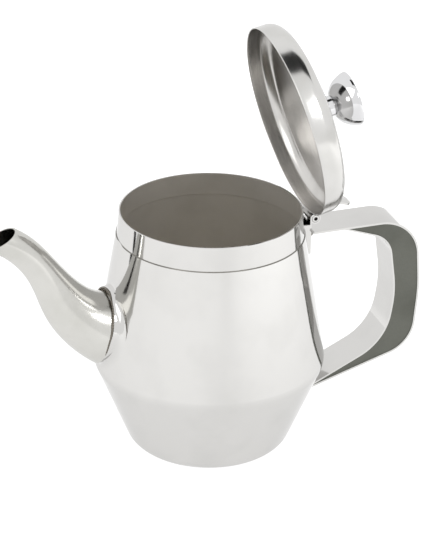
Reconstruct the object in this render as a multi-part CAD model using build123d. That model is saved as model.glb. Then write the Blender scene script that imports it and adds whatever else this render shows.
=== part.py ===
from build123d import *
import os
from math import atan2, cos, radians, sin, sqrt

# Stainless steel coffee pot with a long spout, a hollow handle and a hinged cap lid.
# Millimetres, +Z up. The origin is the centre of the base, on the table and on the pot's axis.
# The spout points along -X, the handle along +X, and the hinge runs along Y.
# Everything on the lid is drawn closed, and then turned open about the hinge to its rest pose.

# Sheet steel
WALL = 0.7
WELD_GAP = 0.03

# Pot: an upright section of two cones, a small step and a neck band
BASE_R = 38.6
BASE_ROUND = 10.5
RECESS_R = 26.0
RECESS_RUN = 2.0
RECESS_DEPTH = 1.2
BELLY_R = 57.3
BELLY_Z = 45.3
BELLY_ROUND = 8.0
SHOULDER_R = 46.0
STEP_Z = 111.8
STEP_RISE = 0.5
BAND_R = 45.55
RIM_R = 44.5
RIM_Z = 123.75

# Short neck drawn out of the pot's side, where the spout is welded on
NECK_X = -55.8
NECK_Z = 69.9
NECK_R = 18.1
NECK_TILT = 13.5
NECK_ROUND = 4.0
SEAM_R = 0.55

# Spout: centre line from inside the seam to beyond the mouth, as x, z and outer radius
SPOUT_STATIONS = [
    (-49.0, 66.2, 18.9),
    (-58.9, 71.2, 16.7),
    (-66.9, 77.2, 14.2),
    (-74.7, 86.8, 11.5),
    (-82.0, 99.0, 8.8),
    (-90.2, 110.6, 7.8),
    (-99.3, 118.8, 7.5),
    (-107.6, 122.9, 7.0),
    (-117.0, 125.3, 6.8),
]
MOUTH_X = -96.2
MOUTH_Z = 126.0
MOUTH_SLOPE = 27.5

# Handle: outer strap, inner strap and two side plates round a hollow
HANDLE_W = 20.8
HANDLE_ROOT_X = 30.0
GRIP_ROOT_X = 20.0
STRAP = 1.0
INNER_STRAP = 0.8
SIDE_PLATE = 0.8
SIDE_RECESS = 0.35
STRAP_CORNERS = [(44.0, 109.35), (104.4, 110.4), (107.2, 72.0), (104.6, 40.6), (40.0, 20.0)]
STRAP_ROUNDS = [20.5, 100.0, 18.7]
GRIP_CORNERS = [(58.6, 112.0), (90.3, 101.2), (94.5, 71.5), (90.3, 44.0), (40.0, 19.1)]
GRIP_ROUNDS = [14.0, 60.0, 29.0]

# Hinge
HINGE_X = 51.2
HINGE_Z = 115.6
KNUCKLE_R = 2.7
PIN_R = 1.95
PIN_BORE_R = 0.95
PIN_ROUND = 0.45
PIN_PROUD = 0.3
FIXED_BORE_GAP = 0.02
TURNING_BORE_GAP = 0.05
BRACKET_W = 16.0
BRACKET_FOOT_Z = 97.0
CHEEK_REACH = 9.0
STRAP_WELD_LEG = 2.2
LEAF_W = 6.0
LEAF_GAP = 0.35
LEAF_LOW_Z = 114.3
LEAF_HIGH_Z = 117.5

# Lid: straight skirt, rounded shoulder and a shallow dome
LID_R = 47.6
LID_Z = 113.5
SKIRT_H = 5.66
SHOULDER_ROUND = 7.23
LID_H = 18.57
LID_OPEN_DEG = 76.0

# Thumb tab on the lid's rear shoulder
TAB_W = 12.0
TAB_SHEET = 1.0
TAB_ROUND = 4.0
TAB_REACH = 30.0
TAB_FOOT = (46.0, 121.5)
TAB_BEND = (49.4, 131.0)
TAB_TIP = (52.3, 135.6)

# Knob on the lid, and the screw that holds it from inside
KNOB_R = 13.6
KNOB_STEM_R = 5.2
KNOB_STEM_H = 6.2
KNOB_FLAT_R = 6.0
KNOB_EDGE_Z = 17.3
KNOB_EDGE_ROUND = 0.9
KNOB_CROWN = [(9.0, 18.8), (4.0, 19.6)]
COLLAR_R = 6.1
COLLAR_H = 0.9
SCREW_R = 2.0
SCREW_HOLE_R = 2.2
SCREW_HEAD_R = 3.6
SCREW_HEAD_H = 2.2
SCREW_SLOT_W = 1.0
SCREW_SLOT_DEPTH = 1.0
SCREW_REACH = 12.0
WASHER_R = 6.5
WASHER_H = 1.0

HINGE_AXIS = Axis((HINGE_X, 0, HINGE_Z), (0, 1, 0))
HALF_W = HANDLE_W / 2
KNUCKLE_SHEET = KNUCKLE_R - PIN_R - TURNING_BORE_GAP
PLATE_X = HINGE_X - KNUCKLE_R
LID_TOP = LID_Z + LID_H


def upright(x, z):
    """A point of the XZ plane, given as x and z."""
    return Vector(x, 0, z)


def section(corners):
    """Closed face of the XZ plane through the corners."""
    return make_face(Polyline(*[upright(x, z) for x, z in corners], close=True))


def right_half(face):
    """The part of an upright section at positive x."""
    return face & section([(0, -50), (200, -50), (200, 250), (0, 250)])


def extrude_y(face, width):
    """Upright section given a width, centred on the XZ plane."""
    return extrude(face, amount=width / 2, dir=(0, 1, 0), both=True)


def corners_at(face, points):
    """Vertices of a face that lie at the points, given as x and z."""
    wanted = [upright(x, z) for x, z in points]
    return [v for v in face.vertices() if any((v.center() - w).length < 1e-3 for w in wanted)]


def pot_section(top_z):
    """Full-width upright section of the pot's outside, with its neck band carried up to top_z."""
    band_slope = (RIM_R - BAND_R) / (RIM_Z - STEP_Z - STEP_RISE)
    top_r = RIM_R + band_slope * (top_z - RIM_Z)
    side = [
        (RECESS_R - RECESS_RUN, RECESS_DEPTH),
        (RECESS_R, 0),
        (BASE_R, 0),
        (BELLY_R, BELLY_Z),
        (SHOULDER_R, STEP_Z),
        (BAND_R, STEP_Z + STEP_RISE),
        (top_r, top_z),
    ]
    face = section(side + [(-x, z) for x, z in reversed(side)])
    face = fillet(corners_at(face, [(BASE_R, 0), (-BASE_R, 0)]), BASE_ROUND)
    return fillet(corners_at(face, [(BELLY_R, BELLY_Z), (-BELLY_R, BELLY_Z)]), BELLY_ROUND)


def pot_solid(inset, top_z):
    """Solid pot with its surface moved inward by inset, ending above at top_z or higher."""
    face = pot_section(top_z)
    if inset:
        face = offset(face, -inset, kind=Kind.INTERSECTION)
    return revolve(right_half(face), Axis.Z, 360)


def neck_plane():
    """Plane of the spout's weld seam, facing out along the spout."""
    tilt = radians(NECK_TILT)
    return Plane(upright(NECK_X, NECK_Z), x_dir=(0, 1, 0), z_dir=(-cos(tilt), 0, sin(tilt)))


def with_neck(pot, inset):
    """Pot solid with the drawn neck for the spout added and blended in."""
    plane = neck_plane()
    neck = plane.offset(-20) * Cylinder(NECK_R - inset, 34, align=(Align.CENTER, Align.CENTER, Align.MIN))
    joined = pot + neck
    return fillet(new_edges(pot, neck, combined=joined), NECK_ROUND + inset)


def beyond_seam():
    """Block that holds everything on the spout's side of its weld seam."""
    return neck_plane() * Box(90, 90, 60, align=(Align.CENTER, Align.CENTER, Align.MIN))


def make_body_shell():
    """Pot wall, base, neck band and drawn spout neck, one sheet."""
    outside = with_neck(pot_solid(0, RIM_Z), 0)
    inside = with_neck(pot_solid(WALL, RIM_Z + 8), WALL)
    return outside - inside - beyond_seam()


def spout_solid():
    """Loft of round sections along the spout's centre line, solid, from inside the neck."""
    points = [upright(x, z) for x, z, _ in SPOUT_STATIONS]
    line = Spline(*points)
    rings = []
    for point, (_, _, radius) in zip(points, SPOUT_STATIONS):
        plane = Plane(point, x_dir=(0, 1, 0), z_dir=line % line.param_at_point(point))
        rings.append(plane * Circle(radius))
    return loft(rings)


def inside_seam():
    """Block that holds everything on the pot's side of the spout's weld seam."""
    return neck_plane() * Box(90, 90, 60, align=(Align.CENTER, Align.CENTER, Align.MAX))


def above_mouth():
    """Block that cuts the spout's end to its sloping mouth."""
    slope = radians(MOUTH_SLOPE)
    plane = Plane(upright(MOUTH_X, MOUTH_Z), x_dir=(0, 1, 0), z_dir=(-sin(slope), 0, cos(slope)))
    return plane * Box(60, 90, 40, align=(Align.CENTER, Align.CENTER, Align.MIN))


def make_spout():
    """Tapered, curved spout tube, cut to the seam at its root and to its sloping mouth."""
    side = max(spout_solid().faces(), key=lambda face: face.area)
    return Solid.thicken(side, -WALL) - inside_seam() - above_mouth()


def make_seam():
    """Ring of weld round the joint of spout and neck, standing half out of the sheet."""
    return neck_plane() * Torus(NECK_R, SEAM_R)


def strap_line():
    """Outside line of the handle, from the hinge bracket to the lower end."""
    return FilletPolyline(*[upright(x, z) for x, z in STRAP_CORNERS], radius=STRAP_ROUNDS)


def grip_line():
    """Line between the side plates and the inner strap, round the fingers."""
    return FilletPolyline(*[upright(x, z) for x, z in GRIP_CORNERS], radius=GRIP_ROUNDS)


def closed_region(line, left):
    """Face inside a line that is open towards the pot, closed at x = left."""
    start, end = line @ 0, line @ 1
    shut = Polyline(end, upright(left, end.Z), upright(left, start.Z), start)
    return make_face(Wire(line.edges() + shut.edges()))


def handle_trim(pot):
    """What the handle's pieces are cut back from: the pot and the hinge bracket's plate."""
    behind_plate = Box(60, 60, 60, align=(Align.MAX, Align.CENTER, Align.CENTER))
    return pot + Pos(PLATE_X + KNUCKLE_SHEET + WELD_GAP, 0, BRACKET_FOOT_Z + 15) * behind_plate


def biggest(shape):
    """The largest solid of a shape, without the offcuts on the far side of the pot's wall."""
    return max(shape.solids(), key=lambda solid: solid.volume)


def make_handle(pot):
    """Outer strap, inner strap and the two side plates, as a dictionary of solids."""
    trim = handle_trim(pot)
    whole = closed_region(strap_line(), HANDLE_ROOT_X)
    hollow = offset(whole, -STRAP, kind=Kind.INTERSECTION)
    grip = closed_region(grip_line(), GRIP_ROOT_X)
    fingers = offset(grip, -INNER_STRAP, kind=Kind.INTERSECTION)
    outer = extrude_y(whole - hollow, HANDLE_W) - trim
    inner = extrude_y((grip - fingers) & hollow, HANDLE_W) - trim
    plate = extrude_y(hollow - grip, SIDE_PLATE) - trim
    shift = HALF_W - SIDE_RECESS - SIDE_PLATE / 2
    return {
        "handle_outer_strap": biggest(outer),
        "handle_inner_strap": biggest(inner),
        "handle_side_plate_left": Pos(0, -shift, 0) * biggest(plate),
        "handle_side_plate_right": Pos(0, shift, 0) * biggest(plate),
    }


def knuckle(low_y, high_y, bore_gap):
    """Rolled eye of a hinge between two heights along the hinge, with its bore."""
    plane = Plane((HINGE_X, low_y, HINGE_Z), x_dir=(1, 0, 0), z_dir=(0, 1, 0))
    length = high_y - low_y
    eye = plane * Cylinder(KNUCKLE_R, length, align=(Align.CENTER, Align.CENTER, Align.MIN))
    bore = plane * Cylinder(PIN_R + bore_gap, length, align=(Align.CENTER, Align.CENTER, Align.MIN))
    return eye, bore


def box_between(low, high):
    """Box from its lowest to its highest corner."""
    size = [b - a for a, b in zip(low, high)]
    return Pos(*low) * Box(*size, align=(Align.MIN, Align.MIN, Align.MIN))


def make_hinge_bracket(pot):
    """Bent sheet behind the neck band: plate, two cheeks and two rolled knuckles."""
    half = BRACKET_W / 2
    inner = LEAF_W / 2 + LEAF_GAP
    back = PLATE_X + KNUCKLE_SHEET
    plate_top = HINGE_Z - KNUCKLE_R - LEAF_GAP
    bracket = box_between((PLATE_X, -half, BRACKET_FOOT_Z), (back, half, plate_top))
    bores = None
    for side in (-1, 1):
        low_y, high_y = sorted((side * inner, side * half))
        eye, bore = knuckle(low_y, high_y, FIXED_BORE_GAP)
        stem = box_between((PLATE_X, low_y, plate_top - 1), (back, high_y, HINGE_Z))
        low_c, high_c = sorted((side * half, side * (half - KNUCKLE_SHEET)))
        cheek = box_between((PLATE_X - CHEEK_REACH, low_c, BRACKET_FOOT_Z), (back, high_c, plate_top))
        bracket = bracket + eye + stem + cheek
        bores = bore if bores is None else bores + bore
    return bracket - bores - pot


def make_hinge_pin():
    """Hollow pin through the three knuckles, with rounded ends."""
    length = BRACKET_W + 2 * PIN_PROUD
    pin = Cylinder(PIN_R, length)
    pin = fillet(pin.edges().filter_by(GeomType.CIRCLE), PIN_ROUND)
    pin = pin - Cylinder(PIN_BORE_R, length)
    return Pos(HINGE_X, 0, HINGE_Z) * Rot(90, 0, 0) * pin


def make_strap_weld():
    """Fillet of weld in the corner under the strap, behind the bracket's plate."""
    back = PLATE_X + KNUCKLE_SHEET
    under = STRAP_CORNERS[0][1] - STRAP
    corner = section([(back, under), (back + STRAP_WELD_LEG, under), (back, under - STRAP_WELD_LEG)])
    return extrude_y(corner, BRACKET_W - 1)


def lid_section(extra):
    """Full-width section of the closed lid's outside, with its skirt carried down by extra."""
    centre_x = LID_R - SHOULDER_ROUND
    centre_z = LID_Z + SKIRT_H
    drop = LID_TOP - centre_z
    dome_r = (centre_x**2 + drop**2 - SHOULDER_ROUND**2) / (2 * (drop - SHOULDER_ROUND))
    lean = atan2(centre_x, dome_r - drop)
    half_turn = (radians(90) + lean) / 2
    arcs = []
    for side in (1, -1):
        low = upright(side * LID_R, centre_z)
        middle = upright(
            side * (centre_x + SHOULDER_ROUND * sin(half_turn)),
            centre_z + SHOULDER_ROUND * cos(half_turn),
        )
        high = upright(side * dome_r * sin(lean), LID_TOP - dome_r * (1 - cos(lean)))
        arcs.append((low, ThreePointArc(low, middle, high), high))
    (right_low, right_arc, right_high), (left_low, left_arc, left_high) = arcs
    dome = ThreePointArc(right_high, upright(0, LID_TOP), left_high)
    foot = [upright(-LID_R, LID_Z - extra), upright(LID_R, LID_Z - extra)]
    skirt = Polyline(left_low, foot[0], foot[1], right_low)
    return make_face(Wire([*right_arc.edges(), *dome.edges(), *left_arc.edges(), *skirt.edges()]))


def lid_solid(inset, extra):
    """Solid lid with its surface moved inward by inset."""
    face = lid_section(extra)
    if inset:
        face = offset(face, -inset, kind=Kind.INTERSECTION)
    return revolve(right_half(face), Axis.Z, 360)


def make_lid_shell():
    """Cap of the lid, one sheet, with a hole for the knob's screw."""
    hole = Pos(0, 0, LID_TOP) * Cylinder(SCREW_HOLE_R, 10)
    return lid_solid(0, 0) - lid_solid(WALL, 5) - hole


def make_hinge_leaf(lid_outside):
    """Middle knuckle and the short tongue that joins it to the lid's skirt."""
    half = LEAF_W / 2
    eye, bore = knuckle(-half, half, TURNING_BORE_GAP)
    tongue = box_between((LID_R - 1.5, -half, LEAF_LOW_Z), (HINGE_X - 1.0, half, LEAF_HIGH_Z))
    return eye + tongue - bore - lid_outside


def make_thumb_tab(lid_outside):
    """Sheet tongue that stands on the lid's rear shoulder, with a rounded end."""
    corners = [Vector(*TAB_FOOT), Vector(*TAB_BEND), Vector(*TAB_TIP)]
    lean_low = atan2(TAB_BEND[0] - TAB_FOOT[0], TAB_BEND[1] - TAB_FOOT[1])
    lean_high = atan2(TAB_TIP[0] - TAB_BEND[0], TAB_TIP[1] - TAB_BEND[1])
    leans = (lean_low, (lean_low + lean_high) / 2, lean_high)
    aside = [Vector(cos(lean), -sin(lean)) * (TAB_SHEET / 2) for lean in leans]
    front = [corner - step for corner, step in zip(corners, aside)]
    back = [corner + step for corner, step in zip(corners, aside)]
    sheet = extrude_y(section([(p.X, p.Y) for p in front + back[::-1]]), TAB_W)
    tip = Plane(upright(*TAB_TIP), x_dir=(0, 1, 0), z_dir=(cos(lean_high), 0, -sin(lean_high)))
    outline = Pos(0, -TAB_REACH / 2, 0) * RectangleRounded(TAB_W, TAB_REACH, TAB_ROUND)
    rounded = extrude(tip * outline, amount=TAB_REACH, both=True)
    return (sheet & rounded) - lid_outside


def turned(points):
    """Solid turned about the lid's axis from straight stretches of its section."""
    return revolve(section(points), Axis.Z, 360)


def make_knob():
    """Cup-shaped knob with a flat, slightly domed top, on its stem."""
    z = LID_TOP
    under = upright(KNOB_FLAT_R, z + KNOB_STEM_H)
    edge_low = upright(KNOB_R, z + KNOB_EDGE_Z - KNOB_EDGE_ROUND)
    edge_high = upright(KNOB_R - KNOB_EDGE_ROUND, z + KNOB_EDGE_Z)
    corner = KNOB_EDGE_ROUND * (1 - sqrt(0.5))
    edge_mid = upright(KNOB_R - corner, z + KNOB_EDGE_Z - corner)
    crown = [upright(x, z + height) for x, height in KNOB_CROWN]
    top = upright(0, crown[-1].Z)
    stem_base = z + COLLAR_H
    outline = [
        Polyline(top, upright(0, stem_base), upright(KNOB_STEM_R, stem_base)),
        Line(upright(KNOB_STEM_R, stem_base), upright(KNOB_STEM_R, z + KNOB_STEM_H)),
        Line(upright(KNOB_STEM_R, z + KNOB_STEM_H), under),
        Spline(under, edge_low, tangents=[Vector(1, 0, 0.55), Vector(0, 0, 1)]),
        ThreePointArc(edge_low, edge_mid, edge_high),
        Polyline(edge_high, *crown, top),
    ]
    edges = [edge for piece in outline for edge in piece.edges()]
    solid = revolve(make_face(Wire(edges)), Axis.Z, 360)
    return solid - Pos(0, 0, z) * Cylinder(SCREW_R + FIXED_BORE_GAP, 2 * SCREW_REACH)


def make_knob_collar(lid_outside):
    """Thin collar between the knob's stem and the lid."""
    ring = Cylinder(COLLAR_R, 4) - Cylinder(SCREW_HOLE_R, 4)
    return Pos(0, 0, LID_TOP + COLLAR_H - 2) * ring - lid_outside


def make_washer(lid_inside):
    """Washer inside the lid, under the screw's head, its face shaped to the dome."""
    low = LID_TOP - WALL - WASHER_H
    ring = Pos(0, 0, low) * Cylinder(WASHER_R, 4, align=(Align.CENTER, Align.CENTER, Align.MIN))
    return (ring & lid_inside) - Pos(0, 0, LID_TOP) * Cylinder(SCREW_HOLE_R, 20)


def make_screw():
    """Pan-head screw from inside the lid into the knob."""
    head_top = LID_TOP - WALL - WASHER_H
    top = LID_TOP + SCREW_REACH
    screw = turned([(0, top), (SCREW_R, top), (SCREW_R, head_top), (0, head_top)])
    head = Pos(0, 0, head_top - SCREW_HEAD_H) * Cylinder(
        SCREW_HEAD_R, SCREW_HEAD_H, align=(Align.CENTER, Align.CENTER, Align.MIN)
    )
    head = fillet(head.edges().filter_by(GeomType.CIRCLE).sort_by(Axis.Z)[0], SCREW_HEAD_H * 0.6)
    slot = Pos(0, 0, head_top - SCREW_HEAD_H) * Box(3 * SCREW_HEAD_R, SCREW_SLOT_W, 2 * SCREW_SLOT_DEPTH)
    return screw + (head - slot)


def opened(shape):
    """A piece of the lid, turned from closed to its rest pose."""
    return shape.rotate(HINGE_AXIS, LID_OPEN_DEG)


def main():
    pot = pot_solid(0, RIM_Z)
    pot_clear = pot_solid(-WELD_GAP, RIM_Z)
    lid_outside = lid_solid(-WELD_GAP, 3)
    lid_inside = lid_solid(WALL + WELD_GAP, 3)
    pieces = {
        "body_shell": make_body_shell(),
        "spout": make_spout(),
        "spout_weld_seam": make_seam(),
        **make_handle(pot_clear),
        "handle_strap_weld": make_strap_weld(),
        "hinge_bracket": make_hinge_bracket(pot_clear),
        "hinge_pin": make_hinge_pin(),
    }
    lid_pieces = {
        "lid_shell": make_lid_shell(),
        "lid_hinge_leaf": make_hinge_leaf(lid_outside),
        "thumb_tab": make_thumb_tab(lid_outside),
        "lid_knob": make_knob(),
        "knob_collar": make_knob_collar(lid_outside),
        "knob_washer": make_washer(lid_inside),
        "knob_screw": make_screw(),
    }
    pieces.update({name: opened(shape) for name, shape in lid_pieces.items()})
    os.makedirs("parts", exist_ok=True)
    for name, shape in pieces.items():
        export_step(shape, f"parts/{name}.step")


main()
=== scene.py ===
"""Looks of a stainless steel coffee pot with a long spout, a strap handle and a hinged cap lid."""

import logging
import math
import random
from dataclasses import dataclass, field
from enum import Enum

import bmesh
import bpy
from mathutils import Matrix, Vector


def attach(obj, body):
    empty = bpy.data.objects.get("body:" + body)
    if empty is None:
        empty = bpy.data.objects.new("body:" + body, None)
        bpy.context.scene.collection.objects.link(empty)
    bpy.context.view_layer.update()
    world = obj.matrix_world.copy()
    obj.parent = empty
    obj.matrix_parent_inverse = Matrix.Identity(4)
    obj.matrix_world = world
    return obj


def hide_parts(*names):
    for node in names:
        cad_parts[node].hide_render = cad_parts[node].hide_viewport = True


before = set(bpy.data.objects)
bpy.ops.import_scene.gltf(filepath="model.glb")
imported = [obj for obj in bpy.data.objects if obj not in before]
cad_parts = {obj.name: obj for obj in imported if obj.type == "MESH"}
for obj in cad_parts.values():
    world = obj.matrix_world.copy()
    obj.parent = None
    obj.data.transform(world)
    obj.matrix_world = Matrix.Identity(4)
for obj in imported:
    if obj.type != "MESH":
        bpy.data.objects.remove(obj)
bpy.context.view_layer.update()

LOG = logging.getLogger("coffee_pot")
MM = 0.001
# Points of a spun mesh that lie closer than this, in metres, are one point
SAME_POINT = 1e-7
# Faint darkening of every metal where it is seen edge-on
EDGE_TINT = (0.86, 0.86, 0.86, 1.0)
# Slow cloudiness of colour, in clouds per metre
CLOUDS_PER_M = 45.0


def linear(hex_colour: str) -> tuple[float, float, float, float]:
    """Turn an sRGB hex colour into linear light.

    Args:
        hex_colour: Six hex digits, red first.

    Returns:
        Red, green, blue and an alpha of one.
    """
    parts = [int(hex_colour[i : i + 2], 16) / 255 for i in (0, 2, 4)]
    return (*(c / 12.92 if c <= 0.04045 else ((c + 0.055) / 1.055) ** 2.4 for c in parts), 1.0)


def add_node(tree: bpy.types.NodeTree, kind: str, inputs: dict | None = None, **settings) -> bpy.types.Node:
    """Add a shader node with its settings, values and links.

    Args:
        tree: The node tree to add to.
        kind: The node's type name.
        inputs: Socket name or number to a value, or to another node's output socket.
        settings: The node's own properties.

    Returns:
        The new node.
    """
    node = tree.nodes.new(kind)
    for name, value in settings.items():
        setattr(node, name, value)
    for key, value in (inputs or {}).items():
        if isinstance(value, bpy.types.NodeSocket):
            tree.links.new(value, node.inputs[key])
        else:
            node.inputs[key].default_value = value
    return node


class Grain(Enum):
    """How a steel surface was finished, which decides its fine pattern."""

    BUFFED = "buffed"
    SATIN = "satin"
    LATHE = "lathe"
    BLASTED = "blasted"
    WELD = "weld"


@dataclass(frozen=True)
class TurnedAxis:
    """Axis that a piece was spun about, for patterns that run round it.

    Args:
        centre: A point of the axis, in metres.
        tilt: How far the axis leans from upright towards +X, in degrees.
    """

    centre: tuple[float, float, float] = (0.0, 0.0, 0.0)
    tilt: float = 0.0

    def upright(self) -> Matrix:
        """Move and turn that brings the axis onto the world's Z axis."""
        return Matrix.Rotation(-math.radians(self.tilt), 4, "Y") @ Matrix.Translation(-Vector(self.centre))

    def direction(self) -> tuple[float, float, float]:
        """Unit vector along the axis."""
        lean = math.radians(self.tilt)
        return (math.sin(lean), 0.0, math.cos(lean))


@dataclass(frozen=True)
class Finish:
    """One metal finish, as colour, gloss and a fine pattern of a real size.

    Args:
        name: Name of the material, after the metal and how it was finished.
        colour: Base colour as sRGB hex.
        dark: Second colour as sRGB hex, for stains and shaded grain.
        roughness: Lowest and highest roughness over the surface.
        grain: Kind of fine pattern.
        grain_mm: Distance between the marks of the pattern.
        relief_mm: Height of the pattern's relief.
        wave_mm: Distance between the slow waves of pressed sheet, or none at zero.
        wave_relief_mm: Height of those waves.
        streak: How much longer than wide the highlights are, from 0 to 1, on a brushed surface.
        axis: Axis that the grain runs round or along.
        metallic: How bare the metal is, below one where oxide or residue lies on it.
    """

    name: str
    colour: str
    dark: str
    roughness: tuple[float, float]
    grain: Grain
    grain_mm: float
    relief_mm: float
    wave_mm: float = 0.0
    wave_relief_mm: float = 0.0
    streak: float = 0.0
    axis: TurnedAxis = TurnedAxis()
    metallic: float = 1.0

    def _position(self, tree: bpy.types.NodeTree) -> bpy.types.NodeSocket:
        """Object coordinates, turned and centred so that the grain's axis is Z."""
        coords = add_node(tree, "ShaderNodeTexCoord").outputs["Object"]
        upright = self.axis.upright()
        mapping = add_node(tree, "ShaderNodeMapping", {"Vector": coords}, vector_type="POINT")
        mapping.inputs["Location"].default_value = upright.to_translation()
        mapping.inputs["Rotation"].default_value = upright.to_euler("XYZ")
        return mapping.outputs[0]

    def _rings(self, tree: bpy.types.NodeTree, position: bpy.types.NodeSocket) -> bpy.types.NodeSocket:
        """Distance from the axis and height along it, which are the same all round a ring."""
        split = add_node(tree, "ShaderNodeSeparateXYZ", {0: position}).outputs
        flat = add_node(tree, "ShaderNodeCombineXYZ", {0: split[0], 1: split[1]}).outputs[0]
        radius = add_node(tree, "ShaderNodeVectorMath", {0: flat}, operation="LENGTH").outputs["Value"]
        return add_node(tree, "ShaderNodeCombineXYZ", {0: radius, 1: split[2]}).outputs[0]

    def _pattern(self, tree: bpy.types.NodeTree, position: bpy.types.NodeSocket) -> bpy.types.NodeSocket:
        """The fine pattern, from 0 to 1, for this kind of grain."""
        where = position
        if self.grain is Grain.LATHE:
            where = self._rings(tree, position)
        elif self.grain in (Grain.BUFFED, Grain.SATIN):
            stretch = add_node(tree, "ShaderNodeMapping", {"Vector": position, "Scale": (1.0, 1.0, 0.12)})
            where = stretch.outputs[0]
        marks = {"Vector": where, "Scale": 1.0 / (self.grain_mm * MM), "Detail": 4.0}
        return add_node(tree, "ShaderNodeTexNoise", marks).outputs[0]

    def _tangent(self, tree: bpy.types.NodeTree) -> bpy.types.NodeSocket:
        """Direction round the axis, in world space, which is the way the grain runs."""
        coords = add_node(tree, "ShaderNodeTexCoord").outputs["Object"]
        out = add_node(tree, "ShaderNodeVectorMath", {0: coords, 1: self.axis.centre}, operation="SUBTRACT")
        round_it = add_node(
            tree,
            "ShaderNodeVectorMath",
            {0: self.axis.direction(), 1: out.outputs[0]},
            operation="CROSS_PRODUCT",
        )
        world = add_node(
            tree,
            "ShaderNodeVectorTransform",
            {0: round_it.outputs[0]},
            vector_type="VECTOR",
            convert_from="OBJECT",
            convert_to="WORLD",
        )
        unit = add_node(tree, "ShaderNodeVectorMath", {0: world.outputs[0]}, operation="NORMALIZE")
        return unit.outputs[0]

    def _tone(
        self, tree: bpy.types.NodeTree, position: bpy.types.NodeSocket, fine: bpy.types.NodeSocket
    ) -> bpy.types.NodeSocket:
        """The colour, mixed of both colours by slow clouds with a little of the fine pattern."""
        broad = add_node(
            tree, "ShaderNodeTexNoise", {"Vector": position, "Scale": CLOUDS_PER_M, "Detail": 3.0}
        )
        spread = add_node(
            tree, "ShaderNodeMapRange", {"Value": broad.outputs[0], "From Min": 0.3, "From Max": 0.6}
        )
        both = add_node(
            tree,
            "ShaderNodeMath",
            {0: fine, 1: 0.35, 2: spread.outputs[0]},
            operation="MULTIPLY_ADD",
            use_clamp=True,
        )
        tone = add_node(tree, "ShaderNodeMix", data_type="RGBA")
        tree.links.new(both.outputs[0], tone.inputs[0])
        tone.inputs[6].default_value = linear(self.dark)
        tone.inputs[7].default_value = linear(self.colour)
        return tone.outputs[2]

    def _gloss(self, tree: bpy.types.NodeTree, fine: bpy.types.NodeSocket) -> bpy.types.NodeSocket:
        """The roughness, which follows the fine pattern."""
        inputs = {
            "Value": fine,
            "From Min": 0.3,
            "From Max": 0.7,
            "To Min": self.roughness[0],
            "To Max": self.roughness[1],
        }
        return add_node(tree, "ShaderNodeMapRange", inputs).outputs[0]

    def _relief(
        self, tree: bpy.types.NodeTree, position: bpy.types.NodeSocket, fine: bpy.types.NodeSocket
    ) -> bpy.types.NodeSocket:
        """The normal, tilted by the fine pattern's relief and by the slow waves of pressed sheet."""
        marks = {"Strength": 1.0, "Distance": self.relief_mm * MM, "Height": fine}
        normal = add_node(tree, "ShaderNodeBump", marks).outputs[0]
        if not self.wave_mm:
            return normal
        waves = {"Vector": position, "Scale": 1.0 / (self.wave_mm * MM), "Detail": 1.0}
        swell = {
            "Strength": 1.0,
            "Distance": self.wave_relief_mm * MM,
            "Height": add_node(tree, "ShaderNodeTexNoise", waves).outputs[0],
            "Normal": normal,
        }
        return add_node(tree, "ShaderNodeBump", swell).outputs[0]

    def build(self) -> bpy.types.Material:
        """Make the material, once.

        Returns:
            The material, which is the same one at every call.
        """
        made = bpy.data.materials.get(self.name)
        if made:
            return made
        material = bpy.data.materials.new(self.name)
        material.use_nodes = True
        tree = material.node_tree
        tree.nodes.clear()
        position = self._position(tree)
        fine = self._pattern(tree, position)
        inputs = {
            "Base Color": self._tone(tree, position, fine),
            "Metallic": self.metallic,
            "Specular Tint": EDGE_TINT,
            "Roughness": self._gloss(tree, fine),
            "Normal": self._relief(tree, position, fine),
        }
        if self.streak:
            inputs["Anisotropic"] = self.streak
            inputs["Tangent"] = self._tangent(tree)
        shader = add_node(tree, "ShaderNodeBsdfPrincipled", inputs)
        add_node(tree, "ShaderNodeOutputMaterial", {"Surface": shader.outputs[0]})
        return material


# The hinge's place, the lid's opening at rest, the height of its crown and its screw hole, in millimetres
HINGE_X = 51.2
HINGE_Z = 115.6
LID_OPEN_DEG = 76.0
LID_APEX_Z = 132.07
SCREW_HOLE_R = 2.2


def opened() -> Matrix:
    """Turn that takes a piece of the lid from closed to its rest pose."""
    hinge = Matrix.Translation((HINGE_X * MM, 0, HINGE_Z * MM))
    return hinge @ Matrix.Rotation(math.radians(LID_OPEN_DEG), 4, "Y") @ hinge.inverted()


LID_AXIS = TurnedAxis(tuple(opened() @ Vector((0, 0, LID_APEX_Z * MM))), LID_OPEN_DEG)

# Stainless steel sheet, pressed and buffed with a cloth wheel: a near-mirror with faint waves
MIRROR = Finish(
    "buffed_stainless_steel",
    "C5C4C2",
    "C0BFBD",
    (0.05, 0.09),
    Grain.BUFFED,
    0.5,
    0.0004,
    wave_mm=14,
    wave_relief_mm=0.004,
)
# The same sheet inside the pot, left as it was drawn and pickled: dull, warm and even
DRAWN = Finish(
    "pickled_stainless_steel",
    "DAD6CF",
    "D0CCC4",
    (0.34, 0.42),
    Grain.LATHE,
    0.6,
    0.002,
    streak=0.8,
    metallic=0.75,
)
# Painted shade: a dark grey on the faces of the crease under the neck band, for the dark line that its
# sharp inner corner shows
RESIDUE = Finish("buffing_residue_on_steel", "7A7873", "5C5A56", (0.25, 0.4), Grain.BLASTED, 1.5, 0.002)
# Spout, polished by hand over its seam: softer, with a faint mottle
SOFT = Finish(
    "hand_polished_stainless_steel",
    "C2C1BD",
    "B8B7B2",
    (0.15, 0.22),
    Grain.SATIN,
    0.7,
    0.001,
    wave_mm=9,
    wave_relief_mm=0.006,
)
# Fine glass-bead blast: a dark, even, grainy grey
BLASTED = Finish("bead_blasted_stainless_steel", "64655F", "595A54", (0.45, 0.6), Grain.BLASTED, 0.45, 0.02)
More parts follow.
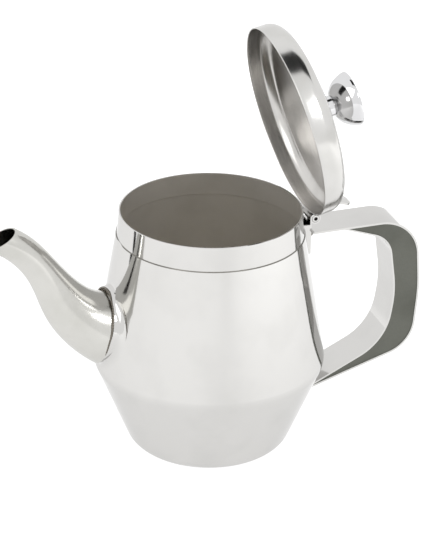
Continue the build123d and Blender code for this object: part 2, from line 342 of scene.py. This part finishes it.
# Weld metal, brushed clean: dull, dark and rippled
WELD = Finish("weld_bead_steel", "77726A", "443F39", (0.25, 0.4), Grain.WELD, 1.2, 0.08)
# Lid's outside, buffed on a turning wheel: nearly a mirror, with faint rings
LID_OUTSIDE = Finish(
    "turned_and_buffed_stainless_steel",
    "C9C8C6",
    "BFBEBB",
    (0.13, 0.19),
    Grain.LATHE,
    0.5,
    0.0006,
    streak=0.3,
    axis=LID_AXIS,
)
# Lid's inside, brushed with emery as it spun: fine rings that draw light out into bands across them
LID_INSIDE = Finish(
    "spun_stainless_steel",
    "C4C2BF",
    "A9A7A4",
    (0.14, 0.24),
    Grain.LATHE,
    0.3,
    0.004,
    streak=0.8,
    axis=LID_AXIS,
)
# Bright nickel and chromium plating: a clean dark-and-white mirror
PLATED = Finish("bright_chromium_plate", "CFCFD0", "C9C9CA", (0.02, 0.03), Grain.BUFFED, 0.8, 0.0001)
# Plain machine screw steel
FASTENER = Finish("stainless_screw_steel", "B5B4B0", "9B9A96", (0.25, 0.35), Grain.SATIN, 0.4, 0.002)


def dress(thing: bpy.types.Object, *materials: bpy.types.Material) -> None:
    """Put materials in an object's slots, in order, in place of what it had."""
    slots = thing.data.materials
    for place, material in enumerate(materials):
        if place < len(slots):
            slots[place] = material
        else:
            slots.append(material)


def add_piece(mesh: bpy.types.Mesh, body: str, slot: str, *nodes: str) -> bpy.types.Object:
    """Make an object of a mesh, hang it on its body and let it stand for its CAD nodes.

    Args:
        mesh: The finished mesh, whose name the piece takes.
        body: The body that the piece rides on.
        slot: Not used.
        nodes: The CAD nodes that it replaces.

    Returns:
        The new object.
    """
    piece = bpy.data.objects.new(mesh.name, mesh)
    bpy.context.scene.collection.objects.link(piece)
    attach(piece, body)
    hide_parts(*nodes)
    return piece


def finish_mesh(work: bmesh.types.BMesh, name: str, sharp_deg: float = 35.0) -> bpy.types.Mesh:
    """Turn a bmesh into a smooth-shaded mesh with its sharp edges kept.

    Args:
        work: The finished bmesh, which is freed.
        name: The mesh's name.
        sharp_deg: Angle between faces from which an edge stays sharp.

    Returns:
        The new mesh.
    """
    for face in work.faces:
        face.smooth = True
    for edge in work.edges:
        edge.smooth = not (edge.is_manifold and edge.calc_face_angle(0.0) > math.radians(sharp_deg))
    mesh = bpy.data.meshes.new(name)
    work.to_mesh(mesh)
    work.free()
    return mesh


@dataclass
class Lathe:
    """Round piece turned from an outline, given in millimetres as radius and height.

    Args:
        outline: Points in order, either a closed ring clear of the axis or a line with both ends on it.
        steps: Number of stretches round the axis.
    """

    outline: list[tuple[float, float]]
    steps: int = 192

    def turn(self, place: Matrix) -> bmesh.types.BMesh:
        """Spin the outline into a closed shape.

        Args:
            place: Where the turned shape goes, from upright on the world's Z axis.

        Returns:
            A bmesh of the shape.
        """
        work = bmesh.new()
        verts = [work.verts.new((x * MM, 0, z * MM)) for x, z in self.outline]
        edges = [work.edges.new(pair) for pair in zip(verts, verts[1:])]
        if min(self.outline[0][0], self.outline[-1][0]) > 0:
            edges.append(work.edges.new((verts[-1], verts[0])))
        bmesh.ops.spin(
            work,
            geom=verts + edges,
            cent=(0, 0, 0),
            axis=(0, 0, 1),
            angle=2 * math.pi,
            steps=self.steps,
            use_merge=True,
        )
        bmesh.ops.remove_doubles(work, verts=work.verts, dist=SAME_POINT)
        bmesh.ops.recalc_face_normals(work, faces=work.faces)
        bmesh.ops.transform(work, matrix=place, verts=work.verts)
        return work


def arc(
    centre: tuple[float, float], radius: float, start_deg: float, end_deg: float, count: int
) -> list[tuple[float, float]]:
    """Points along a round stretch of an outline.

    Args:
        centre: The arc's centre, as radius and height in millimetres.
        radius: The arc's radius in millimetres.
        start_deg: Direction of the first point, from outward towards up.
        end_deg: Direction of the last point.
        count: Number of points, both ends included.

    Returns:
        The points as radius and height.
    """
    turns = [math.radians(start_deg + (end_deg - start_deg) * i / (count - 1)) for i in range(count)]
    return [(centre[0] + radius * math.cos(t), centre[1] + radius * math.sin(t)) for t in turns]


@dataclass
class Pot:
    """Pressed body with its drawn neck, mirror outside, dull inside and painted shade in the crease under
    the neck band.

    Args:
        middle: A point in the hollow, from which each face looks outward or inward, in metres.
        crease_z: Lowest and highest edge of the crease under the neck band, whose faces get painted shade,
            in millimetres.
    """

    middle: tuple[float, float, float] = (0.0, 0.0, 0.06)
    crease_z: tuple[float, float] = (111.81, 112.29)

    def body(self) -> bpy.types.Object:
        """Copy of the pot's wall, with a finish of its own on the inside and painted shade in the crease
        under the neck band.

        Returns:
            The piece.
        """
        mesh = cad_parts["body_shell"].data.copy()
        mesh.name = "pressed_body"
        middle = Vector(self.middle)
        low, high = (z * MM for z in self.crease_z)
        for face in mesh.polygons:
            out = (face.center - middle).dot(face.normal) > 0
            # Faces in the crease under the neck band take the third slot, a dark grey that is painted shade
            crease = low < face.center.z < high
            face.material_index = (2 if crease else 0) if out else 1
        piece = add_piece(mesh, "pot", "mirror_steel", "body_shell")
        dress(piece, MIRROR.build(), DRAWN.build(), RESIDUE.build())
        return piece


@dataclass
class Lid:
    """Spun cap with a rounded lip, and its knob with a groove over the stem, as drawn when closed.

    Args:
        radius: Outer radius of the skirt in millimetres.
        rim_z: Height of the skirt's lower edge in millimetres.
        skirt: Height of the upright part of the skirt in millimetres.
        shoulder: Radius of the round between skirt and dome in millimetres.
        wall: Thickness of the sheet in millimetres.
        knob_points: Side of the knob's cup, as radius and height over the lid's crown in millimetres.
    """

    radius: float = 47.6
    rim_z: float = 113.5
    skirt: float = 5.66
    shoulder: float = 7.23
    wall: float = 0.7
    knob_points: tuple = (
        (6.0, 6.2),
        (7.2, 6.85),
        (8.4, 7.6),
        (9.6, 8.5),
        (10.6, 9.6),
        (11.6, 11.0),
        (12.5, 12.8),
        (13.2, 14.6),
        (13.5, 15.7),
        (13.6, 16.4),
    )

    def _outline(self, inset: float) -> list[tuple[float, float]]:
        """Outline of the cap's surface, moved in by inset, from the rim to the axis."""
        centre = (self.radius - self.shoulder, self.rim_z + self.skirt)
        drop = LID_APEX_Z - centre[1]
        dome = (centre[0] ** 2 + drop**2 - self.shoulder**2) / (2 * (drop - self.shoulder))
        lean = math.degrees(math.atan2(centre[0], dome - drop))
        low = [(self.radius - inset, self.rim_z + self.wall / 2), (self.radius - inset, self.rim_z + 2.0)]
        side = arc(centre, self.shoulder - inset, 0, 90 - lean, 16)
        top = arc((0, LID_APEX_Z - dome), dome - inset, 90 - lean, 90, 24)[1:]
        return low + side + top

    def cap(self) -> bpy.types.Object:
        """Sheet cap: outside, rounded lip and inside.

        Returns:
            The piece.
        """
        outside = [p for p in self._outline(0) if p[0] > SCREW_HOLE_R]
        inside = [p for p in self._outline(self.wall) if p[0] > SCREW_HOLE_R]
        half = self.wall / 2
        lip = arc((self.radius - half, self.rim_z + half), half, 180, 360, 9)[1:-1]
        hole = [(SCREW_HOLE_R, LID_APEX_Z), (SCREW_HOLE_R, LID_APEX_Z - self.wall)]
        outline = inside[::-1] + lip + outside + hole
        work = Lathe(outline).turn(opened())
        centre = Vector(LID_AXIS.centre)
        along = Vector(LID_AXIS.direction())
        crown_share = 0.6
        for face in work.faces:
            away = face.calc_center_median() - centre
            radial = (away - away.dot(along) * along).normalized()
            facing = face.normal.dot(radial + crown_share * along)
            face.material_index = 0 if facing > 0 else 1
        piece = add_piece(finish_mesh(work, "spun_cap"), "lid", "mirror_steel", "lid_shell")
        dress(piece, LID_OUTSIDE.build(), LID_INSIDE.build())
        return piece

    def knob(self) -> bpy.types.Object:
        """Plated knob: stem, groove, cup side, rolled edge and low crown.

        Returns:
            The piece.
        """
        stem = [(2.1, 0.9), (5.0, 0.9), (5.2, 1.1), (5.2, 5.7), (4.9, 5.85), (4.9, 6.1), (5.2, 6.2)]
        edge = arc((12.7, 16.4), 0.9, 10, 62, 6)
        crown = [(12.4, 17.42), (11.6, 17.75), (9.0, 18.62), (6.0, 19.2), (3.0, 19.5), (0.0, 19.6)]
        cup = list(self.knob_points) + edge + crown
        bore = [(0.0, 13.0), (2.1, 13.0)]
        outline = [(x, z + LID_APEX_Z) for x, z in bore + stem + cup]
        work = Lathe(outline, 128).turn(opened())
        piece = add_piece(finish_mesh(work, "plated_knob"), "lid", "plated_knob", "lid_knob")
        dress(piece, PLATED.build())
        return piece

    def build(self) -> None:
        """Make the cap and the knob."""
        for piece in (self.cap(), self.knob()):
            LOG.info("%s made", piece.name)


@dataclass
class Seam:
    """Weld bead round the spout's root, rippled and a little uneven.

    Args:
        centre: Middle of the ring, as x and z in millimetres.
        tilt: How far the spout's root points up, in degrees.
        radius: Radius of the ring in millimetres.
        bead: Radius of the bead in millimetres.
        ripple: Distance between the ripples in millimetres.
        steps: Number of stretches round the ring.
        seed: Seed of the unevenness.
    """

    centre: tuple[float, float] = (-55.8, 69.9)
    tilt: float = 13.5
    radius: float = 17.85
    bead: float = 0.5
    ripple: float = 1.3
    steps: int = 480
    seed: int = 7

    def bead_ring(self) -> bpy.types.Object:
        """Ring of weld metal.

        Returns:
            The piece.
        """
        work = bmesh.new()
        ring = bmesh.ops.create_circle(work, cap_ends=False, segments=12, radius=self.bead * MM)["verts"]
        stand = Matrix.Translation((self.radius * MM, 0, 0)) @ Matrix.Rotation(math.pi / 2, 4, "X")
        bmesh.ops.transform(work, matrix=stand, verts=ring)
        bmesh.ops.spin(
            work,
            geom=work.verts[:] + work.edges[:],
            cent=(0, 0, 0),
            axis=(0, 0, 1),
            angle=2 * math.pi,
            steps=self.steps,
            use_merge=True,
        )
        bmesh.ops.remove_doubles(work, verts=work.verts, dist=SAME_POINT)
        bmesh.ops.recalc_face_normals(work, faces=work.faces)
        ripples = round(2 * math.pi * self.radius / self.ripple)
        draw = random.Random(self.seed)
        phases = [draw.uniform(0, 2 * math.pi) for _ in range(4)]
        for vert in work.verts:
            angle = math.atan2(vert.co.y, vert.co.x)
            line = Vector((math.cos(angle), math.sin(angle), 0)) * self.radius * MM
            waver = 0.12 * math.sin(3 * angle + phases[0]) + 0.08 * math.sin(11 * angle + phases[1])
            swell = 1 + 0.10 * math.sin(ripples * angle) + 0.12 * math.sin(7 * angle + phases[2])
            vert.co = line + (vert.co - line) * swell + Vector((0, 0, waver * MM))
        lean = math.radians(self.tilt)
        out = Vector((-math.cos(lean), 0, math.sin(lean)))
        side = Vector((0, 1, 0))
        turn = Matrix((side.cross(out), side, out)).transposed().to_4x4()
        place = Matrix.Translation((self.centre[0] * MM, 0, self.centre[1] * MM)) @ turn
        bmesh.ops.transform(work, matrix=place, verts=work.verts)
        piece = add_piece(finish_mesh(work, "weld_bead"), "pot", "weld_steel", "spout_weld_seam")
        dress(piece, WELD.build())
        return piece


@dataclass
class Studio:
    """Floor, lights, flags and camera.

    Args:
        azimuth: The camera's direction round the pot, in degrees.
        elevation: The camera's height above the horizon, in degrees.
        roll: The camera's roll, in degrees.
        distance: From the camera to the pot's middle, in metres.
        lens: Focal length in millimetres, on a sensor 36 mm along its long side.
        aside: How far the camera stands to the right and up of the pot's middle, in metres.
        middle: The point that the camera and the lights are set out from.
        white_room: Strength of the room's own light.
        glow: Half the table's own light, from its left edge to its right, as share of width and strength.
        lamps: Soft lights, each as name, place, length of its side in metres and power in watts.
        flags: Narrow dark boards, each as name, direction from the pot in degrees, distance from its
            axis, width and height in metres.
        flag_foot: Height of the narrow flags' lower ends, in metres.
        top_height: Height of the board over the pot, in metres.
        top_span: Length along X and width along Y of the board over the pot, in metres.
        top_shift: How far that board's middle lies towards the handle, in metres.
    """

    azimuth: float = -18.73
    elevation: float = 25.7
    roll: float = 0.88
    distance: float = 1.2
    lens: float = 163.08
    aside: tuple[float, float] = (0.002866, 0.02893)
    middle: Vector = field(default_factory=lambda: Vector((0, 0, 0.06)))
    glow: tuple = ((0.0, 0.5), (0.36, 0.47), (0.5, 0.44), (0.62, 0.49), (1.0, 0.66))
    white_room: float = 1.2
    lamps: tuple = (
        ("key_light", (-0.9, -0.7, 1.0), 0.9, 4.0),
        ("mouth_light", (0.4, -1.05, 0.9), 0.35, 5.0),
    )
    flags: tuple = (
        ("left_near_flag", 156.5, 0.206, 0.014, 0.12),
        ("left_far_flag", 166.0, 0.211, 0.013, 0.12),
        ("right_far_flag", 16.0, 0.17, 0.012, 0.12),
        ("right_near_flag", 5.0, 0.18, 0.012, 0.12),
    )
    flag_foot: float = 0.05
    top_height: float = 0.9
    top_span: tuple[float, float] = (0.8, 0.38)
    top_shift: float = 0.24

    def camera(self) -> None:
        """Make the camera and make it the scene's."""
        a, e, r = map(math.radians, (self.azimuth, self.elevation, self.roll))
        right = Vector((math.cos(a), math.sin(a), 0))
        ahead = Vector((-math.sin(a) * math.cos(e), math.cos(a) * math.cos(e), -math.sin(e)))
        up = right.cross(ahead)
        right, up = math.cos(r) * right + math.sin(r) * up, -math.sin(r) * right + math.cos(r) * up
        place = self.middle + self.aside[0] * right + self.aside[1] * up - self.distance * ahead
        data = bpy.data.cameras.new("camera")
        data.lens, data.sensor_width, data.clip_start = self.lens, 36.0, 0.01
        eye = bpy.data.objects.new("camera", data)
        turn = Matrix((right, up, -ahead)).transposed().to_4x4()
        eye.matrix_world = Matrix.Translation(place) @ turn
        bpy.context.scene.collection.objects.link(eye)
        bpy.context.scene.camera = eye

    def world(self) -> None:
        """White room all round."""
        world = bpy.data.worlds.new("white_room")
        bpy.context.scene.world = world
        world.use_nodes = True
        tree = world.node_tree
        tree.nodes.clear()
        glow = add_node(tree, "ShaderNodeBackground", {"Color": (1, 1, 1, 1), "Strength": self.white_room})
        add_node(tree, "ShaderNodeOutputWorld", {"Surface": glow.outputs[0]})

    def floor(self) -> None:
        """Pale matt table top that glows with painted light of its own, uneven along X, so that it shows
        hardly a shadow and brightens the pot's reflections.
        """
        mesh = bpy.data.meshes.new("floor")
        work = bmesh.new()
        bmesh.ops.create_grid(work, x_segments=1, y_segments=1, size=1.5)
        work.to_mesh(mesh)
        work.free()
        floor = bpy.data.objects.new("floor", mesh)
        bpy.context.scene.collection.objects.link(floor)
        paint = bpy.data.materials.new("lit_white_acrylic")
        paint.use_nodes = True
        tree = paint.node_tree
        shader = tree.nodes["Principled BSDF"]
        shader.inputs["Base Color"].default_value = linear("8C8C8C")
        shader.inputs["Roughness"].default_value = 0.9
        shader.inputs["Emission Color"].default_value = (1, 1, 1, 1)
        coords = add_node(tree, "ShaderNodeTexCoord").outputs["Object"]
        across = add_node(tree, "ShaderNodeSeparateXYZ", {0: coords}).outputs[0]
        share = add_node(tree, "ShaderNodeMapRange", {"Value": across, "From Min": -0.6, "From Max": 0.6})
        glow = add_node(tree, "ShaderNodeFloatCurve", {"Value": share.outputs[0]})
        curve = glow.mapping.curves[0]
        curve.points[0].location, curve.points[-1].location = self.glow[0], self.glow[-1]
        for point in self.glow[1:-1]:
            curve.points.new(*point)
        glow.mapping.update()
        strength = add_node(tree, "ShaderNodeMath", {0: glow.outputs[0], 1: 2.0}, operation="MULTIPLY")
        tree.links.new(strength.outputs[0], shader.inputs["Emission Strength"])
        dress(floor, paint)

    def light(self, name: str, place: tuple, size: float, power: float) -> None:
        """Soft square light aimed at the pot.

        Args:
            name: The light's name.
            place: Where it stands, in metres.
            size: Length of its side, in metres.
            power: Its power in watts.
        """
        data = bpy.data.lights.new(name, "AREA")
        data.size, data.energy = size, power
        lamp = bpy.data.objects.new(name, data)
        bpy.context.scene.collection.objects.link(lamp)
        lamp.location = place
        lamp.rotation_euler = (self.middle - Vector(place)).to_track_quat("-Z", "Y").to_euler()

    def flag(self, name: str, azimuth: float, away: float, width: float, height: float) -> None:
        """Narrow upright dark board, hung a little over the floor and out of the camera's sight.

        Args:
            name: The board's name.
            azimuth: Its direction from the pot, in degrees from +X towards +Y.
            away: Its distance from the pot's axis, in metres.
            width: Its width in metres.
            height: Its height in metres.
        """
        mesh = bpy.data.meshes.new(name)
        work = bmesh.new()
        bmesh.ops.create_grid(work, x_segments=1, y_segments=1, size=0.5)
        a = math.radians(azimuth)
        place = (away * math.cos(a), away * math.sin(a), self.flag_foot + height / 2)
        stand = (
            Matrix.Translation(place)
            @ Matrix.Rotation(a + math.pi / 2, 4, "Z")
            @ Matrix.Rotation(math.pi / 2, 4, "X")
            @ Matrix.Diagonal((width, height, 1, 1))
        )
        bmesh.ops.transform(work, verts=work.verts, matrix=stand)
        work.to_mesh(mesh)
        work.free()
        self._hide(mesh)

    def overhead(self, name: str) -> None:
        """Dark board that hangs level over the pot.

        Args:
            name: The board's name.
        """
        mesh = bpy.data.meshes.new(name)
        work = bmesh.new()
        bmesh.ops.create_grid(work, x_segments=1, y_segments=1, size=0.5)
        bmesh.ops.scale(work, verts=work.verts, vec=(*self.top_span, 1))
        bmesh.ops.translate(work, verts=work.verts, vec=(self.top_shift, 0, self.top_height))
        work.to_mesh(mesh)
        work.free()
        self._hide(mesh)

    def _hide(self, mesh: bpy.types.Mesh) -> None:
        """Make a felt board of a mesh that shows only in the pot's reflections."""
        board = bpy.data.objects.new(mesh.name, mesh)
        bpy.context.scene.collection.objects.link(board)
        cloth = bpy.data.materials.new(mesh.name + "_felt")
        cloth.use_nodes = True
        shader = cloth.node_tree.nodes["Principled BSDF"]
        shader.inputs["Base Color"].default_value = linear("101010")
        shader.inputs["Roughness"].default_value = 1.0
        dress(board, cloth)
        board.visible_camera = False
        board.visible_diffuse = False

    def build(self) -> None:
        """Make all of the studio."""
        scene = bpy.context.scene
        scene.view_settings.view_transform = "Standard"
        self.camera()
        self.world()
        self.floor()
        for lamp in self.lamps:
            self.light(*lamp)
        for board in self.flags:
            self.flag(*board)
        self.overhead("top_flag")


def main() -> None:
    """Build the studio, then dress the pot."""
    logging.basicConfig(level=logging.INFO, format="%(name)s: %(message)s")
    Studio().build()
    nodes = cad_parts
    mirror, soft, blasted = MIRROR.build(), SOFT.build(), BLASTED.build()
    weld, plated, fastener = WELD.build(), PLATED.build(), FASTENER.build()
    dresses = {
        "spout": soft,
        "handle_outer_strap": mirror,
        "handle_inner_strap": mirror,
        "handle_side_plate_left": blasted,
        "handle_side_plate_right": blasted,
        "handle_strap_weld": weld,
        "hinge_bracket": mirror,
        "hinge_pin": mirror,
        "lid_hinge_leaf": mirror,
        "thumb_tab": mirror,
        "knob_collar": plated,
        "knob_washer": fastener,
        "knob_screw": fastener,
    }
    for name, material in dresses.items():
        dress(nodes[name], material)
        LOG.info("%s dressed in %s", name, material.name)
    for piece in (Pot().body(), Seam().bead_ring()):
        LOG.info("%s made", piece.name)
    Lid().build()


if __name__ == "__main__":
    main()
